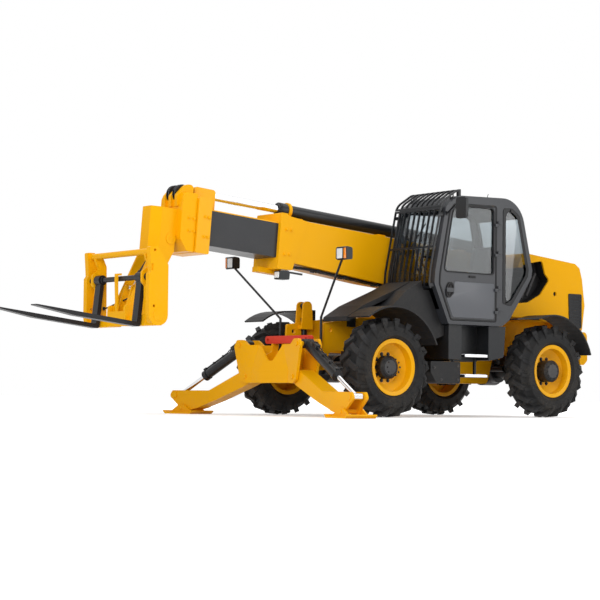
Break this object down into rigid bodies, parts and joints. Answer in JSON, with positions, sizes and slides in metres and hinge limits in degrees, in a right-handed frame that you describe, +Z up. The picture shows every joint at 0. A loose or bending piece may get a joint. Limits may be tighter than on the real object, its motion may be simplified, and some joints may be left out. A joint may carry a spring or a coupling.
{
  "type": "telehandler",
  "caption": "Telescopic handler with a side cab, four steered wheels, a sliding box boom with a fork carriage and hinged front stabilisers.",
  "frame": {"origin": "on the ground at the middle of the machine's box", "axes": "+X forward towards the forks, +Y to the cab side, +Z up"},
  "size_m": [8.2673, 3.8054, 2.8314],
  "materials": {
    "yellow_paint": "gloss",
    "black_paint": "satin",
    "grey_paint": "satin",
    "red_paint": "gloss",
    "fork_steel": "satin",
    "black_plastic": "matte",
    "chrome_rod": "polished",
    "tyre": "matte",
    "glass": "clear",
    "cast_iron": "matte",
    "seat_cloth": "woven",
    "red_lens": "gloss"
  },
  "bodies": {
    "chassis": {"main_frame": "yellow_paint", "engine_bay": "yellow_paint", "engine_block": "cast_iron", "rear_covers": "yellow_paint", "rear_grille": "black_plastic", "cab_shell": "black_paint", "cab_sides": "black_paint", "cab_glass": "glass", "windscreen_guard": "black_paint", "seat_base": "black_paint", "seat_cushion": "seat_cloth", "steering_console": "black_plastic", "front_shroud": "black_plastic", "fenders": "black_plastic", "step_box": "black_paint", "belly_cover": "black_plastic", "front_axle": "black_paint", "rear_axle": "black_paint", "stabiliser_frame": "yellow_paint", "lock_bar": "red_paint", "front_lamps": "black_paint", "mirrors": "black_paint", "tow_hitch": "black_paint", "rear_lamps": "red_lens"},
    "engine_lid": {"engine_cover": "yellow_paint"},
    "door": {"door_frame": "black_paint", "door_glass": "glass"},
    "boom": {"outer_boom": "yellow_paint", "boom_lamp": "black_paint", "extension_barrel": "black_paint"},
    "boom_2": {"boom_section_2": "grey_paint", "extension_rod": "chrome_rod"},
    "boom_3": {"boom_section_3": "yellow_paint"},
    "nose": {"boom_nose": "yellow_paint"},
    "fork_carriage": {"carriage": "yellow_paint", "forks": "fork_steel"},
    "tilt_barrel": {"tilt_barrel": "black_paint"},
    "tilt_rod": {"tilt_rod": "chrome_rod"},
    "lift_barrel": {"lift_barrel": "black_paint"},
    "lift_rod": {"lift_rod": "chrome_rod"},
    "knuckle_fl": {"knuckle_fl": "black_paint"},
    "wheel_fl": {"rim_fl": "yellow_paint", "tyre_fl": "tyre"},
    "knuckle_fr": {"knuckle_fr": "black_paint"},
    "wheel_fr": {"rim_fr": "yellow_paint", "tyre_fr": "tyre"},
    "knuckle_rl": {"knuckle_rl": "black_paint"},
    "wheel_rl": {"rim_rl": "yellow_paint", "tyre_rl": "tyre"},
    "knuckle_rr": {"knuckle_rr": "black_paint"},
    "wheel_rr": {"rim_rr": "yellow_paint", "tyre_rr": "tyre"},
    "leg_left": {"leg_left": "yellow_paint"},
    "foot_left": {"foot_left": "yellow_paint"},
    "leg_barrel_left": {"leg_barrel_left": "black_paint"},
    "leg_rod_left": {"leg_rod_left": "chrome_rod"},
    "leg_right": {"leg_right": "yellow_paint"},
    "foot_right": {"foot_right": "yellow_paint"},
    "leg_barrel_right": {"leg_barrel_right": "black_paint"},
    "leg_rod_right": {"leg_rod_right": "chrome_rod"}
  },
  "joints": [
    {"name": "boom_lift", "type": "hinge", "parent": "chassis", "child": "boom", "pos_m": [-3.44572, 0, 1.9], "axis": [0, -1, 0], "range_deg": [-8.5, 64]},
    {"name": "lift_barrel_turn", "type": "hinge", "parent": "chassis", "child": "lift_barrel", "pos_m": [-3.54573, 0, 0.8], "axis": [0, -1, 0], "range_deg": [-6.14, 39.73]},
    {"name": "lift_rod_slide", "type": "slide", "parent": "lift_barrel", "child": "lift_rod", "axis": [0.9178, 0, 0.3971], "range_m": [-0.134, 0.878]},
    {"name": "extend_2", "type": "slide", "parent": "boom", "child": "boom_2", "axis": [0.9969, 0, 0.0785], "range_m": [-0.8, 2.2]},
    {"name": "extend_3", "type": "slide", "parent": "boom_2", "child": "boom_3", "axis": [0.9969, 0, 0.0785], "range_m": [0, 3]},
    {"name": "extend_4", "type": "slide", "parent": "boom_3", "child": "nose", "axis": [0.9969, 0, 0.0785], "range_m": [0, 3]},
    {"name": "carriage_tilt", "type": "hinge", "parent": "nose", "child": "fork_carriage", "pos_m": [2.69428, 0, 1.12], "axis": [0, 1, 0], "range_deg": [-15, 70]},
    {"name": "tilt_barrel_turn", "type": "hinge", "parent": "nose", "child": "tilt_barrel", "pos_m": [2.18049, 0, 2.04186], "axis": [0, 1, 0], "range_deg": [-15.87, 4.19]},
    {"name": "tilt_rod_slide", "type": "slide", "parent": "tilt_barrel", "child": "tilt_rod", "axis": [0.573, 0, -0.8196], "range_m": [-0.081, 0.305]},
    {"name": "leg_left_fold", "type": "hinge", "parent": "chassis", "child": "leg_left", "pos_m": [0.48428, 0.5, 0.478], "axis": [0.9848, -0.1736, 0], "range_deg": [0, 70]},
    {"name": "leg_barrel_left_turn", "type": "hinge", "parent": "chassis", "child": "leg_barrel_left", "pos_m": [0.50129, 0.59651, 0.868], "axis": [0.9848, -0.1736, 0], "range_deg": [-1, 77.88]},
    {"name": "leg_rod_left_slide", "type": "slide", "parent": "leg_barrel_left", "child": "leg_rod_left", "axis": [0.1533, 0.8691, -0.4702], "range_m": [-0.452, 0.02]},
    {"name": "foot_left_turn", "type": "hinge", "parent": "leg_left", "child": "foot_left", "pos_m": [0.68, 1.61, 0.075], "axis": [0.9848, -0.1736, 0], "range_deg": [-4, 30]},
    {"name": "leg_right_fold", "type": "hinge", "parent": "chassis", "child": "leg_right", "pos_m": [0.48428, -0.5, 0.478], "axis": [-0.9848, -0.1736, 0], "range_deg": [0, 70]},
    {"name": "leg_barrel_right_turn", "type": "hinge", "parent": "chassis", "child": "leg_barrel_right", "pos_m": [0.50129, -0.59651, 0.868], "axis": [-0.9848, -0.1736, 0], "range_deg": [-1, 77.88]},
    {"name": "leg_rod_right_slide", "type": "slide", "parent": "leg_barrel_right", "child": "leg_rod_right", "axis": [0.1533, -0.8691, -0.4702], "range_m": [-0.452, 0.02]},
    {"name": "foot_right_turn", "type": "hinge", "parent": "leg_right", "child": "foot_right", "pos_m": [0.68, -1.61, 0.075], "axis": [-0.9848, -0.1736, 0], "range_deg": [-4, 30]},
    {"name": "steer_fl", "type": "hinge", "parent": "chassis", "child": "knuckle_fl", "pos_m": [-0.34573, 0.9, 0.6], "axis": [0, 0, 1], "range_deg": [-35, 35]},
    {"name": "spin_fl", "type": "hinge", "parent": "knuckle_fl", "child": "wheel_fl", "pos_m": [-0.34573, 1.02, 0.6], "axis": [0, 1, 0], "continuous": true},
    {"name": "steer_fr", "type": "hinge", "parent": "chassis", "child": "knuckle_fr", "pos_m": [-0.34573, -0.9, 0.6], "axis": [0, 0, 1], "range_deg": [-35, 35]},
    {"name": "spin_fr", "type": "hinge", "parent": "knuckle_fr", "child": "wheel_fr", "pos_m": [-0.34573, -1.02, 0.6], "axis": [0, 1, 0], "continuous": true},
    {"name": "steer_rl", "type": "hinge", "parent": "chassis", "child": "knuckle_rl", "pos_m": [-3.09572, 0.9, 0.6], "axis": [0, 0, 1], "range_deg": [-35, 35]},
    {"name": "spin_rl", "type": "hinge", "parent": "knuckle_rl", "child": "wheel_rl", "pos_m": [-3.09572, 1.02, 0.6], "axis": [0, 1, 0], "continuous": true},
    {"name": "steer_rr", "type": "hinge", "parent": "chassis", "child": "knuckle_rr", "pos_m": [-3.09572, -0.9, 0.6], "axis": [0, 0, 1], "range_deg": [-35, 35]},
    {"name": "spin_rr", "type": "hinge", "parent": "knuckle_rr", "child": "wheel_rr", "pos_m": [-3.09572, -1.02, 0.6], "axis": [0, 1, 0], "continuous": true},
    {"name": "door_swing", "type": "hinge", "parent": "chassis", "child": "door", "pos_m": [-2.09773, 1.186, 1.5], "axis": [0, 0, 1], "range_deg": [0, 85]},
    {"name": "engine_lid_lift", "type": "hinge", "parent": "chassis", "child": "engine_lid", "pos_m": [-1.88573, -0.43, 1.595], "axis": [-1, 0, 0], "range_deg": [0, 65]}
  ],
  "couplings": [
    {"joint": "lift_barrel_turn", "follows": "boom_lift", "ratio": 0.6052},
    {"joint": "lift_rod_slide", "follows": "boom_lift", "m_per_rad": 0.7685},
    {"joint": "extend_4", "follows": "extend_3", "ratio": 1},
    {"joint": "tilt_barrel_turn", "follows": "carriage_tilt", "ratio": -0.2124},
    {"joint": "tilt_rod_slide", "follows": "carriage_tilt", "m_per_rad": 0.2331},
    {"joint": "leg_barrel_left_turn", "follows": "leg_left_fold", "ratio": 1.0983},
    {"joint": "leg_rod_left_slide", "follows": "leg_left_fold", "m_per_rad": -0.3532},
    {"joint": "leg_barrel_right_turn", "follows": "leg_right_fold", "ratio": 1.0983},
    {"joint": "leg_rod_right_slide", "follows": "leg_right_fold", "m_per_rad": -0.3532},
    {"joint": "steer_fr", "follows": "steer_fl", "ratio": 1},
    {"joint": "steer_rr", "follows": "steer_rl", "ratio": 1}
  ]
}
